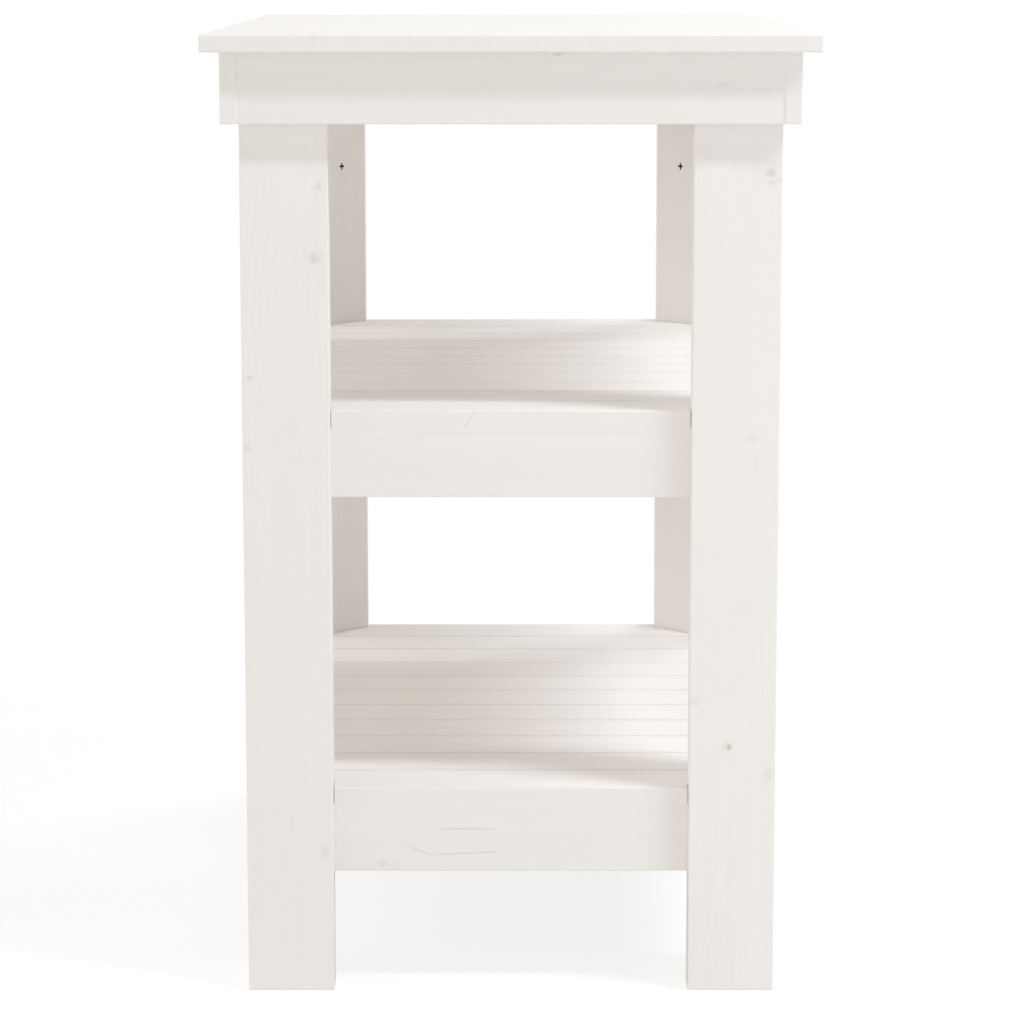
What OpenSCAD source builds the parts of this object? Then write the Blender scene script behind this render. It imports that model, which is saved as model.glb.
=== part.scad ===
// Pine workbench with a solid top and two slatted shelves.
// X runs along the bench, Y across it and Z up. The origin is on the floor,
// under the middle of the top.

/* [Bench] */
// Length of the top, along X
bench_length = 805; // [640:5:1200]
// Depth of the top, along Y
bench_depth = 500; // [440:5:700]
// Height of the top's face above the floor
bench_height = 800; // [720:5:950]

/* [Top and aprons] */
// Thickness of the top
top_t = 14; // [12:1:30]
// Radius on the top's edges
top_edge_r = 1.5; // [0.5:0.25:3]
// How far the top stands out past the aprons
top_overhang = 15; // [6:1:40]
// Thickness of the aprons
apron_t = 14; // [12:1:24]
// Height of the aprons
apron_w = 58; // [50:1:80]
// How far the end aprons lie back from the side aprons' ends
apron_setback = 1; // [0.5:0.25:3]
// Side of the square cleats that hold the top
cleat_w = 18; // [14:1:24]

/* [Legs] */
// Width of a leg on its end and on its side
leg_w = 72; // [64:1:90]
// Thickness of the two boards of a leg
leg_board_t = 14; // [12:1:18]

/* [Shelves] */
// Height of the upper shelf's face
upper_shelf_h = 491; // [440:1:580]
// Height of the lower shelf's face
lower_shelf_h = 172; // [110:2:240]
// Thickness of the rails under the slats
rail_t = 14; // [12:1:18]
// Height of the rails
rail_w = 58; // [48:1:80]
// Thickness of the slats
slat_t = 14; // [10:1:20]
// Slats in a shelf
slat_count = 11; // [9:1:12]
// Gap from one slat to the next
slat_gap = 1; // [0.5:0.25:4]
// Room between a slat and a leg's post
post_clear = 0.5; // [0.25:0.25:2]

/* [Edges] */
// Radius on the edges of the boards and slats
edge_r = 1; // [0.5:0.25:2]

/* [Screws] */
// Shank diameter of the screws through the posts
leg_screw_d = 5.8; // [4:0.2:7]
// Head diameter of the screws through the posts
leg_screw_head_d = 12; // [9:0.5:14]
// Wood between a leg screw's tip and the leg's outer corner
leg_screw_cover = 10.7; // [6:0.1:16]
// Height of the outer leg screws from the leg's ends
leg_screw_end = 136; // [90:1:220]
// How far the screws into the aprons go past the leg's corner
frame_screw_bite = 9; // [6:0.5:12]
// Shank diameter of the slat and cleat screws
small_screw_d = 3.5; // [3:0.25:4.5]
// Head diameter of the slat and cleat screws
small_screw_head_d = 7; // [6:0.5:9]
// How far a slat screw goes into the rail
slat_screw_bite = 16; // [8:1:24]
// Distance of the slat screws from a slat's long edges
slat_screw_inset = 16; // [10:1:18]
// How far a cleat screw goes into the top or the apron
cleat_screw_bite = 7; // [4:0.5:9]
// Largest spacing of the cleat screws
cleat_screw_pitch = 240; // [120:10:400]
// Room round a screw in its hole
screw_fit = 0.1; // [0.05:0.05:0.3]

/* [Dowels] */
// Diameter of the dowels
dowel_d = 6; // [5:0.5:8]
// Length of the dowels
dowel_l = 28; // [20:1:36]
// Distance of a dowel from the board's long edge
dowel_inset = 15; // [9:1:20]
// How far an apron dowel goes into the side apron
apron_dowel_bite = 9; // [5:0.5:10]
// How far a slat dowel goes into an end slat
slat_dowel_bite = 8; // [5:0.5:9]
// Spacing of the slat dowels along an end rail
slat_dowel_pitch = 90; // [50:5:110]
// Room round a dowel in its hole
dowel_fit = 0.05; // [0.05:0.05:0.2]

/* [Hidden] */
$fn = 32;

PAINT = [0.93, 0.92, 0.90];
BEECH = [0.80, 0.66, 0.48];
STEEL = [0.75, 0.75, 0.73];

// Corner name, right end, rear side
LEGS = [
    ["front_left", false, false],
    ["front_right", true, false],
    ["rear_left", false, true],
    ["rear_right", true, true],
];
SHELVES = [["upper", upper_shelf_h], ["lower", lower_shelf_h]];

// Faces of the frame, as distances from the bench's middle
apron_x = bench_length / 2 - top_overhang;
apron_y = bench_depth / 2 - top_overhang;
leg_x = apron_x - apron_setback - apron_t;
leg_y = apron_y - apron_t;
rail_x = leg_x - leg_board_t;
rail_y = leg_y - leg_board_t;
leg_in_x = leg_x - leg_w;
leg_in_y = leg_y - leg_w;

// Heights
leg_h = bench_height - top_t;
apron_z = leg_h - apron_w;
cleat_z = leg_h - cleat_w;
leg_screw_heights = [leg_screw_end, leg_h / 2, leg_h - leg_screw_end];
frame_screw_h = apron_z + apron_w / 2;

// A post's flats are as wide as the rails are thick, and its face is at 45 degrees
post_flat = leg_board_t + rail_t;
post_face = (post_flat + leg_w) / 2;
post_diagonal = post_face * sqrt(2);

// Slats
slat_pitch = (2 * rail_x + slat_gap) / slat_count;
slat_w = slat_pitch - slat_gap;
slat_screw_y = rail_y - rail_t / 2;

// Screws
leg_screw_l = post_diagonal - leg_screw_cover;
frame_screw_l = post_diagonal + frame_screw_bite;
slat_screw_l = slat_t + slat_screw_bite;
cleat_screw_l = cleat_w + cleat_screw_bite;
hole_end = 1;
head_rim = 0.4;
over = 1;

// Dowels
dowel_chamfer = 0.8;
apron_dowel_x = apron_x - apron_setback - apron_t / 2;

// What is cut away to round one corner of a rectangle
module corner_waste(r) {
    difference() {
        translate([-over, -over]) square(r + over);
        translate([r, r]) circle(r = r);
    }
}

// Rectangle from the origin with rounded corners
module eased_rect(w, h, r) {
    difference() {
        square([w, h]);
        for (c = [[0, 0, 0], [w, 0, 90], [w, h, 180], [0, h, 270]])
            translate([c[0], c[1]]) rotate(c[2]) corner_waste(r);
    }
}

// Board between two corners with its edges rounded, apart from those of the
// faces named in sharp, which meet another board
module board(low, high, r = edge_r, sharp = []) {
    function grown(face) = len([for (name = sharp) if (name == face) name]) > 0 ? 3 * r : 0;
    lo = low - [grown("left"), grown("front"), grown("bottom")];
    hi = high + [grown("right"), grown("rear"), grown("top")];
    size = hi - lo;
    intersection() {
        translate(low) cube(high - low);
        translate(lo) linear_extrude(size[2]) eased_rect(size[0], size[1], r);
        translate(lo) rotate([90, 0, 90]) linear_extrude(size[0]) eased_rect(size[1], size[2], r);
        translate([lo[0], hi[1], lo[2]]) rotate([90, 0, 0]) linear_extrude(size[1])
            eased_rect(size[0], size[2], r);
    }
}

// Countersunk screw along Z, with its head's face at the origin and its tip down
module screw(d, head_d, length) {
    head_h = head_rim + (head_d - d) / 2;
    tip = 1.5 * d;
    cross_l = 0.62 * head_d;
    cross_w = 0.14 * head_d;
    color(STEEL) difference() {
        rotate_extrude() polygon([
            [0, 0], [head_d / 2, 0], [head_d / 2, -head_rim], [d / 2, -head_h],
            [d / 2, tip - length], [0, -length],
        ]);
        for (turn = [0, 90]) rotate(turn)
            translate([-cross_l / 2, -cross_w / 2, -0.6 * head_h]) cube([cross_l, cross_w, head_h]);
    }
}

// Countersunk hole for the same screw
module screw_hole(d, head_d, length) {
    head_h = head_rim + (head_d - d) / 2;
    r = d / 2 + screw_fit;
    head_r = head_d / 2 + screw_fit;
    rotate_extrude() polygon([
        [0, over], [head_r, over], [head_r, -head_rim], [r, -head_h],
        [r, -length - hole_end], [0, -length - hole_end],
    ]);
}

// Dowel along Z, with its middle at the origin
module dowel() {
    r = dowel_d / 2;
    h = dowel_l / 2;
    color(BEECH) rotate_extrude() polygon([
        [0, -h], [r - dowel_chamfer, -h], [r, dowel_chamfer - h],
        [r, h - dowel_chamfer], [r - dowel_chamfer, h], [0, h],
    ]);
}

// Hole for a dowel on both sides of the joint that it crosses
module dowel_hole() {
    cylinder(d = dowel_d + 2 * dowel_fit, h = dowel_l + 2 * hole_end, center = true);
}

// Puts its children at a leg's outer corner, with X and Y pointing into the bench
module at_leg(right, rear) {
    mirror([right ? 0 : 1, 0, 0]) mirror([0, rear ? 0 : 1, 0])
        translate([leg_x, leg_y, 0]) rotate(180) children();
}

module at_every_leg() {
    for (leg = LEGS) at_leg(leg[1], leg[2]) children();
}

// Puts its children square to a post's slanted face, pointing out of it
module on_post_face(heights) {
    for (z = heights) translate([post_face, post_face, z]) rotate([0, 90, 45]) children();
}

module leg_screw_holes() {
    on_post_face(leg_screw_heights) screw_hole(leg_screw_d, leg_screw_head_d, leg_screw_l);
    on_post_face([frame_screw_h]) screw_hole(leg_screw_d, leg_screw_head_d, frame_screw_l);
}

// Places of the dowels at the ends of a rail, in a leg's own corner
module at_rail_dowels() {
    for (shelf = SHELVES, side = [dowel_inset, rail_w - dowel_inset]) {
        z = shelf[1] - slat_t - rail_w + side;
        translate([post_flat - rail_t / 2, leg_w, z]) rotate([90, 0, 0]) children();
        translate([leg_w, post_flat - rail_t / 2, z]) rotate([0, 90, 0]) children();
    }
}

// Places of the dowels at the apron's corners
module at_apron_dowels() {
    for (side_x = [-1, 1], side_y = [-1, 1], z = [dowel_inset, apron_w - dowel_inset])
        translate([
            side_x * apron_dowel_x,
            side_y * (apron_y - apron_t + apron_dowel_bite - dowel_l / 2),
            apron_z + z,
        ]) rotate([90, 0, 0]) children();
}

// Places of the dowels that join the end slats to the end rails under them
module at_slat_dowels() {
    for (shelf = SHELVES, side = [-1, 1], row = [-1:1])
        translate([
            side * (rail_x - rail_t / 2),
            row * slat_dowel_pitch,
            shelf[1] - slat_t + slat_dowel_bite - dowel_l / 2,
        ]) children();
}

// Places of the screws of one cleat: up into the top and out into its apron.
// The apron's inner face lies in the XZ plane here, with the cleat on its -Y side.
module at_cleat_screws(length) {
    count = max(2, ceil(length / cleat_screw_pitch));
    step = length / count;
    for (i = [0:count - 1]) {
        x = (i + 0.5) * step - length / 2;
        translate([x - cleat_w / 2, -cleat_w / 2, cleat_z]) rotate([180, 0, 0]) children();
        translate([x + cleat_w / 2, -cleat_w, cleat_z + cleat_w / 2]) rotate([90, 0, 0]) children();
    }
}

// Puts its children at the inner face of the front, rear, left or right apron
module at_apron(name) {
    turn = name == "rear" ? 0 : name == "left" ? 90 : name == "front" ? 180 : 270;
    out = name == "left" || name == "right" ? leg_x : leg_y;
    rotate(turn) translate([0, out, 0]) children();
}

function cleat_l(name) =
    2 * (name == "left" || name == "right" ? leg_in_y : leg_in_x) - 2 * post_clear;

module cleat_screw_holes() {
    for (name = ["front", "rear", "left", "right"]) at_apron(name) at_cleat_screws(cleat_l(name))
        screw_hole(small_screw_d, small_screw_head_d, cleat_screw_l);
}

module frame_cuts() {
    at_every_leg() leg_screw_holes();
    at_apron_dowels() dowel_hole();
    cleat_screw_holes();
}

module tabletop() {
    size = [bench_length / 2, bench_depth / 2];
    color(PAINT) difference() {
        board([-size[0], -size[1], leg_h], [size[0], size[1], bench_height], top_edge_r);
        cleat_screw_holes();
    }
}

module side_apron(rear) {
    near = rear ? leg_y : -apron_y;
    color(PAINT) difference() {
        board([-apron_x, near, apron_z], [apron_x, near + apron_t, leg_h], sharp = ["top"]);
        frame_cuts();
    }
}

module end_apron(right) {
    near = right ? leg_x : -leg_x - apron_t;
    color(PAINT) difference() {
        board([near, -leg_y, apron_z], [near + apron_t, leg_y, leg_h],
            sharp = ["top", "front", "rear"]);
        frame_cuts();
    }
}

module cleat(name) {
    half = cleat_l(name) / 2;
    color(PAINT) at_apron(name) difference() {
        board([-half, -cleat_w, cleat_z], [half, 0, leg_h], sharp = ["top", "rear"]);
        at_cleat_screws(2 * half) screw_hole(small_screw_d, small_screw_head_d, cleat_screw_l);
    }
}

module leg_end_board(right, rear) {
    color(PAINT) at_leg(right, rear) difference() {
        board([0, 0, 0], [leg_board_t, leg_w, leg_h], sharp = ["top"]);
        leg_screw_holes();
    }
}

module leg_side_board(right, rear) {
    color(PAINT) at_leg(right, rear) difference() {
        board([leg_board_t, 0, 0], [leg_w, leg_board_t, leg_h], sharp = ["top"]);
        leg_screw_holes();
    }
}

module leg_post(right, rear) {
    b = leg_board_t;
    color(PAINT) at_leg(right, rear) difference() {
        linear_extrude(leg_h) polygon([
            [b, b], [leg_w, b], [leg_w, post_flat], [post_flat, leg_w], [b, leg_w],
        ]);
        leg_screw_holes();
        at_rail_dowels() dowel_hole();
    }
}

// Rail under the front or rear ends of a shelf's slats
module side_rail(shelf_h, rear) {
    near = rear ? rail_y - rail_t : -rail_y;
    top = shelf_h - slat_t;
    color(PAINT) difference() {
        board([-leg_in_x, near, top - rail_w], [leg_in_x, near + rail_t, top],
            sharp = ["top", "left", "right"]);
        at_slat_screws(shelf_h) screw_hole(small_screw_d, small_screw_head_d, slat_screw_l);
        at_every_leg() at_rail_dowels() dowel_hole();
    }
}

// Rail across one end of a shelf
module end_rail(shelf_h, right) {
    near = right ? rail_x - rail_t : -rail_x;
    top = shelf_h - slat_t;
    color(PAINT) difference() {
        board([near, -leg_in_y, top - rail_w], [near + rail_t, leg_in_y, top],
            sharp = ["top", "front", "rear"]);
        at_every_leg() at_rail_dowels() dowel_hole();
        at_slat_dowels() dowel_hole();
    }
}

// Outline of a leg's post with the slats' clearance, in the leg's own corner
module post_notch() {
    c = post_clear;
    edge = leg_w + c;
    flat = post_flat + c * (sqrt(2) - 1);
    polygon([[-over, -over], [edge, -over], [edge, flat], [flat, edge], [-over, edge]]);
}

function slat_x(i) = -rail_x + (i - 0.5) * slat_pitch - slat_gap / 2;

// Where the screws of slat i go, along X: only over the side rails
function slat_screw_xs(i) = [
    for (side = [-1, 1])
        let (x = slat_x(i) + side * (slat_w / 2 - slat_screw_inset))
        if (abs(x) + small_screw_head_d / 2 < leg_in_x) x
];

module at_slat_screws(shelf_h) {
    for (i = [1:slat_count], x = slat_screw_xs(i), side = [-1, 1])
        translate([x, side * slat_screw_y, shelf_h]) children();
}

// Slat i of a shelf. The end slats are cut round the legs' posts, and lie on dowels.
module slat(shelf_h, i) {
    x = slat_x(i) - slat_w / 2;
    color(PAINT) difference() {
        board([x, -rail_y, shelf_h - slat_t], [x + slat_w, rail_y, shelf_h], sharp = ["bottom"]);
        for (screw_x = slat_screw_xs(i), side = [-1, 1]) translate([screw_x, side * slat_screw_y, shelf_h])
            screw_hole(small_screw_d, small_screw_head_d, slat_screw_l);
        if (max(abs(x), abs(x + slat_w)) > leg_in_x - post_clear)
            at_every_leg() translate([0, 0, shelf_h - slat_t - over]) linear_extrude(slat_t + 2 * over)
                post_notch();
        at_slat_dowels() dowel_hole();
    }
}

module leg_screws() {
    at_every_leg() on_post_face(leg_screw_heights) screw(leg_screw_d, leg_screw_head_d, leg_screw_l);
}

module frame_screws() {
    at_every_leg() on_post_face([frame_screw_h]) screw(leg_screw_d, leg_screw_head_d, frame_screw_l);
}

module slat_screws(shelf_h) {
    at_slat_screws(shelf_h) screw(small_screw_d, small_screw_head_d, slat_screw_l);
}

module cleat_screws() {
    for (name = ["front", "rear", "left", "right"]) at_apron(name) at_cleat_screws(cleat_l(name))
        screw(small_screw_d, small_screw_head_d, cleat_screw_l);
}

module rail_dowels() {
    at_every_leg() at_rail_dowels() dowel();
}

module apron_dowels() {
    at_apron_dowels() dowel();
}

module slat_dowels() {
    at_slat_dowels() dowel();
}

tabletop();
side_apron(false);  // front_apron
side_apron(true);  // rear_apron
end_apron(false);  // left_apron
end_apron(true);  // right_apron
for (name = ["front", "rear", "left", "right"])
    cleat(name);
for (leg = LEGS) {
    leg_end_board(leg[1], leg[2]);
    leg_side_board(leg[1], leg[2]);
    leg_post(leg[1], leg[2]);
}
for (shelf = SHELVES) {
    side_rail(shelf[1], false);
    side_rail(shelf[1], true);
    end_rail(shelf[1], false);
    end_rail(shelf[1], true);
    for (i = [1:slat_count])
        slat(shelf[1], i);
    slat_screws(shelf[1]);
}
leg_screws();
frame_screws();
cleat_screws();
rail_dowels();
apron_dowels();
slat_dowels();
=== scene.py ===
"""Dresses the pine workbench: thin off-white paint on every board, real screws, and a pale studio."""
import math

import bpy
import numpy as np
from bpy.props import FloatProperty, FloatVectorProperty, PointerProperty
from bpy.types import Operator, Panel, PropertyGroup
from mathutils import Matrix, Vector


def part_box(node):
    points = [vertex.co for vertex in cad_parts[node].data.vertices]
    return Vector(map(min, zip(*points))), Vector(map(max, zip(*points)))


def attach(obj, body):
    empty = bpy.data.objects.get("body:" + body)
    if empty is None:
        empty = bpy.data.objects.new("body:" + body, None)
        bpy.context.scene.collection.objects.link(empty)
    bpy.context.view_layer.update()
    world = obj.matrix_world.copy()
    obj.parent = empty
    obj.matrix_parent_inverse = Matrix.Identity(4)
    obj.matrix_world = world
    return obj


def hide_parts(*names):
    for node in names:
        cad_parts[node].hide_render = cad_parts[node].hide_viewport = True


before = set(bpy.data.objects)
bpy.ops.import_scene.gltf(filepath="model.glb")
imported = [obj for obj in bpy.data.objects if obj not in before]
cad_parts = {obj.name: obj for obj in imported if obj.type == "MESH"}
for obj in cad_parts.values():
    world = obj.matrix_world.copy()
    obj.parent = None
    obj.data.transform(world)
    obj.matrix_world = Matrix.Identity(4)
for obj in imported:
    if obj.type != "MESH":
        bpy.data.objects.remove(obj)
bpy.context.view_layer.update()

bl_info = {
    "name": "Painted Pine Workbench",
    "version": (1, 0, 0),
    "blender": (4, 5, 0),
    "location": "3D View > Sidebar > Workbench",
    "description": "Paints a pine workbench, drives its screws and sets up a pale studio round it",
    "category": "Object",
}

MM = 0.001
DIAGONAL = math.sqrt(2.0)
SHELVES = ("upper", "lower")
CORNERS = ("front_left", "front_right", "rear_left", "rear_right")
# The node of a shelf's screws has a name like a slat's
SLAT_COUNT = sum(name.startswith("upper_slat_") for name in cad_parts) - 1


def box(name):
    """Lowest and highest corner of a CAD node, as two numpy arrays."""
    low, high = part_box(name)
    return np.array(low), np.array(high)


# Faces of the frame, read from the packed boards
LEG_LOW, LEG_HIGH = box("rear_right_leg_end_board")
LEG_X, LEG_Y = LEG_HIGH[0], LEG_HIGH[1]
LEG_WIDTH = LEG_HIGH[1] - LEG_LOW[1]
BOARD = LEG_HIGH[0] - LEG_LOW[0]
RAIL_LOW, RAIL_HIGH = box("upper_right_rail")
RAIL_THICK = RAIL_HIGH[0] - RAIL_LOW[0]
SIDE_RAIL_Y = box("upper_rear_rail")[0][1] + RAIL_THICK / 2
# From a leg's outer corner to the middle of its slanted face, along X and along Y
POST_FACE = (BOARD + RAIL_THICK + LEG_WIDTH) / 2
TOP_LOW, TOP_HIGH = box("tabletop")


# Node trees

class Tree:
    """Adds nodes to one node tree and joins them, with one short call for each kind."""

    def __init__(self, tree):
        self.tree = tree

    def add(self, kind, inputs=None, **settings):
        """A node of that kind, with its attributes set and its inputs given a value or joined."""
        node = self.tree.nodes.new(kind)
        for name, value in settings.items():
            setattr(node, name, value)
        for name, value in (inputs or {}).items():
            if isinstance(value, bpy.types.NodeSocket):
                self.tree.links.new(value, node.inputs[name])
            else:
                node.inputs[name].default_value = value
        return node

    def math(self, operation, first, second=0.0, third=0.0, clamp=False):
        """One sum on numbers."""
        return self.add("ShaderNodeMath", {0: first, 1: second, 2: third},
                        operation=operation, use_clamp=clamp).outputs[0]

    def total(self, start, *parts):
        """The start with every part added to it. A part is given with the number that it is multiplied by."""
        for part, weight in parts:
            start = self.math("MULTIPLY_ADD", part, weight, start)
        return start

    def swing(self, noise):
        """Noise round 0 instead of round 0.5."""
        return self.math("SUBTRACT", noise, 0.5)

    def vector(self, operation, first, second=(0.0, 0.0, 0.0)):
        """One sum on vectors."""
        node = self.add("ShaderNodeVectorMath", {0: first, 1: second}, operation=operation)
        return node.outputs["Value" if operation in {"LENGTH", "DOT_PRODUCT"} else "Vector"]

    def step(self, value, start, end, low=0.0, high=1.0):
        """A smooth step from low at start to high at end."""
        return self.add("ShaderNodeMapRange", {"Value": value, "From Min": start, "From Max": end,
                                               "To Min": low, "To Max": high},
                        interpolation_type="SMOOTHSTEP").outputs["Result"]

    def blend(self, factor, first, second):
        """A colour between two. A Mix node has its colours at inputs 6 and 7 and at output 2."""
        return self.add("ShaderNodeMix", {0: factor, 6: first, 7: second}, data_type="RGBA").outputs[2]

    def noise(self, position, scale, detail=2.0, roughness=0.5):
        """Noise round 0.5 that follows the position."""
        return self.add("ShaderNodeTexNoise", {"Vector": position, "Scale": scale, "Detail": detail,
                                               "Roughness": roughness}).outputs["Fac"]

    def drawn_noise(self, position, scales, detail=2.0, roughness=0.5):
        """Noise with its own scale along X, Y and Z."""
        return self.noise(self.vector("MULTIPLY", position, scales), 1.0, detail, roughness)

    def split(self, vector):
        """The X, Y and Z of a vector."""
        return self.add("ShaderNodeSeparateXYZ", {"Vector": vector}).outputs

    def join(self, x, y, z):
        """A vector from X, Y and Z."""
        return self.add("ShaderNodeCombineXYZ", {"X": x, "Y": y, "Z": z}).outputs["Vector"]

    def even(self, level):
        """A vector or grey with one level in all three parts."""
        return self.join(level, level, level)

    def shared(self, name, build, inputs):
        """The outputs of a node group, which is built where it is first used."""
        tree = bpy.data.node_groups.get(name) or build(name)
        return self.add("ShaderNodeGroup", inputs, node_tree=tree).outputs


def new_group(name, inputs, outputs):
    """A shader node group with those sockets, given as (name, kind, default)."""
    tree = bpy.data.node_groups.new(name, "ShaderNodeTree")
    for socket_name, kind, default in inputs:
        socket = tree.interface.new_socket(socket_name, in_out="INPUT", socket_type="NodeSocket" + kind)
        socket.default_value = default
    for socket_name, kind in outputs:
        tree.interface.new_socket(socket_name, in_out="OUTPUT", socket_type="NodeSocket" + kind)
    graph = Tree(tree)
    return graph, graph.add("NodeGroupInput").outputs, graph.add("NodeGroupOutput")


def fill_outputs(graph, output, values):
    """Joins the values to a group's outputs, by name."""
    for name, value in values.items():
        graph.tree.links.new(value, output.inputs[name])


# Fineness of the noise that makes the outlines of knots ragged
RAGGED_SCALE = 260.0


def build_knot(name):
    """One knot: an ellipsoid through the board. The core is its dark heart, the halo the grain
    that swells round it. Both keep the larger of the new knot and what came in."""
    graph, given, output = new_group(
        name,
        [("Position", "Vector", (0, 0, 0)), ("Centre", "Vector", (0, 0, 0)), ("Size", "Vector", (0.01,) * 3),
         ("Strength", "Float", 1.0), ("Core", "Float", 0.0), ("Halo", "Float", 0.0)],
        [("Core", "Float"), ("Halo", "Float")])
    ragged = graph.noise(given["Position"], RAGGED_SCALE)
    away = graph.vector("LENGTH", graph.vector(
        "DIVIDE", graph.vector("SUBTRACT", given["Position"], given["Centre"]), given["Size"]))
    away = graph.total(away, (graph.swing(ragged), 0.7))
    # The core ends a little outside the ellipsoid, and the halo at more than three times its size
    core = graph.math("MULTIPLY", graph.step(away, 1.25, 0.45), given["Strength"])
    halo = graph.math("MULTIPLY", graph.step(away, 3.6, 0.6), given["Strength"])
    fill_outputs(graph, output, {"Core": graph.math("MAXIMUM", core, given["Core"]),
                                 "Halo": graph.math("MAXIMUM", halo, given["Halo"])})
    return graph.tree


def build_mark(name):
    """A fine crack or grain line on an end face: the height over a bent line through the centre, as a
    share of its half width. It thins out at both ends, and noise breaks it up."""
    graph, given, output = new_group(
        name,
        [("Position", "Vector", (0, 0, 0)), ("Centre", "Vector", (0, 0, 0)), ("Reach", "Float", 0.02),
         ("Width", "Float", 0.001), ("Slope", "Float", 0.0), ("Curve", "Float", 0.0),
         ("Strength", "Float", 1.0), ("Core", "Float", 0.0)],
        [("Core", "Float")])
    depth = 20.0 * MM
    line_edge = (1.5, 0.5)
    line_ends = (1.0, 0.5)
    deep, aside, up = graph.split(graph.vector("SUBTRACT", given["Position"], given["Centre"]))[:3]
    bend = graph.math("MULTIPLY_ADD", given["Curve"], aside, given["Slope"])
    over = graph.math("ABSOLUTE", graph.math("SUBTRACT", up, graph.math("MULTIPLY", bend, aside)))
    line = graph.step(graph.math("DIVIDE", over, given["Width"]), *line_edge)
    ends = graph.step(graph.math("DIVIDE", graph.math("ABSOLUTE", aside), given["Reach"]), *line_ends)
    inside = graph.math("LESS_THAN", graph.math("ABSOLUTE", deep), depth)
    broken = graph.step(graph.noise(given["Position"], 180.0), 0.25, 0.6, 0.5, 1.0)
    level = graph.math("MULTIPLY", graph.math("MULTIPLY", line, ends), given["Strength"])
    level = graph.math("MULTIPLY", graph.math("MULTIPLY", level, inside), broken)
    fill_outputs(graph, output, {"Core": graph.math("MAXIMUM", level, given["Core"])})
    return graph.tree


def build_stray_knots(name):
    """Knots where the photograph doesn't reach: in a share of the cells of a cell pattern drawn out
    along the grain, each with its own size."""
    graph, given, output = new_group(
        name,
        [("Position", "Vector", (0, 0, 0)), ("Amount", "Float", 0.35), ("Clear", "Float", 1.0)],
        [("Core", "Float"), ("Halo", "Float")])
    # Nine cells to the metre across the grain, and fewer along it and through the board
    drawn = graph.vector("MULTIPLY", given["Position"], (0.62, 1.0, 0.35))
    cells = graph.add("ShaderNodeTexVoronoi", {"Vector": drawn, "Scale": 9.0, "Randomness": 0.9},
                      feature="F1").outputs
    draw = graph.add("ShaderNodeSeparateColor", {"Color": cells["Color"]}).outputs
    present = graph.math("LESS_THAN", draw["Red"], given["Amount"])
    present = graph.math("MULTIPLY", present, given["Clear"])
    # As a share of a cell
    size = graph.math("MULTIPLY_ADD", draw["Green"], 0.035, 0.028)
    away = graph.math("DIVIDE", cells["Distance"], size)
    ragged = graph.noise(given["Position"], RAGGED_SCALE)
    away = graph.total(away, (graph.swing(ragged), 0.6))
    fill_outputs(graph, output, {"Core": graph.math("MULTIPLY", graph.step(away, 1.2, 0.5), present),
                                 "Halo": graph.math("MULTIPLY", graph.step(away, 3.4, 0.6), present)})
    return graph.tree


# Where the pith of a board lies: how far it may drift in a metre and stand to the side, and its
# least depth and the range above that
PITH_DRIFT = 0.045
PITH_ASIDE = 30.0 * MM
PITH_DEPTH = 12.0 * MM
PITH_DEPTH_RANGE = 35.0 * MM
# How far a ring wanders, and how far a knot pushes it outwards
RING_WAVE = 12.0 * MM
KNOT_PUSH = 4.5 * MM


def build_figure(name):
    """Pine's growth rings as a solid: the distance from a pith that runs beside the board and
    drifts along it, folded by the ring spacing. X is along the grain. Boards are told apart by
    the cell that they lie in, so each has its own pith. Knots push the rings outwards."""
    graph, given, output = new_group(
        name,
        [("Position", "Vector", (0, 0, 0)), ("Cell", "Vector", (1, 1, 1)), ("Seed", "Float", 0.0),
         ("Spacing", "Float", 2.6 * MM), ("Halo", "Float", 0.0)],
        [("Late wood", "Float"), ("Fibre", "Float"), ("Tone", "Float")])
    cell = graph.vector("DIVIDE", given["Position"], given["Cell"])
    cell = graph.vector("FLOOR", graph.vector("ADD", cell, (0.5, 0.5, 0.5)))
    middle = graph.vector("MULTIPLY", cell, given["Cell"])
    keyed = graph.vector("ADD", cell, graph.join(given["Seed"], 0.0, given["Seed"]))
    draw = graph.add("ShaderNodeTexWhiteNoise", {"Vector": keyed}, noise_dimensions="3D").outputs
    red, green, blue = graph.add("ShaderNodeSeparateColor", {"Color": draw["Color"]}).outputs[:3]
    # Each board's fibres and waves start from another place
    shifted = graph.join(graph.math("MULTIPLY", blue, 3.0), red, green)
    shifted = graph.vector("ADD", given["Position"], shifted)

    along = graph.split(given["Position"])["X"]
    _, across, deep = graph.split(graph.vector("SUBTRACT", given["Position"], middle))
    drift = graph.math("MULTIPLY", graph.math("MULTIPLY", along, graph.swing(green)), 2.0 * PITH_DRIFT)
    across = graph.total(graph.math("ADD", across, drift), (graph.swing(red), 2.0 * PITH_ASIDE))
    deep = graph.math("ADD", graph.math("ADD", deep, drift), PITH_DEPTH)
    deep = graph.total(deep, (blue, PITH_DEPTH_RANGE))
    wave = graph.drawn_noise(shifted, (5.0, 16.0, 16.0))
    radius = graph.total(graph.vector("LENGTH", graph.join(0.0, across, deep)),
                         (graph.swing(wave), RING_WAVE), (given["Halo"], KNOT_PUSH))
    turn = graph.math("FRACT", graph.math("DIVIDE", radius, given["Spacing"]))
    # Late wood darkens slowly through a ring and stops sharply where the next one starts
    late = graph.math("MULTIPLY", graph.step(turn, 0.35, 0.86), graph.step(turn, 1.0, 0.9))
    fibre = graph.drawn_noise(shifted, (14.0, 900.0, 900.0))
    fill_outputs(graph, output, {"Late wood": late, "Fibre": fibre, "Tone": draw["Value"]})
    return graph.tree


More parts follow.
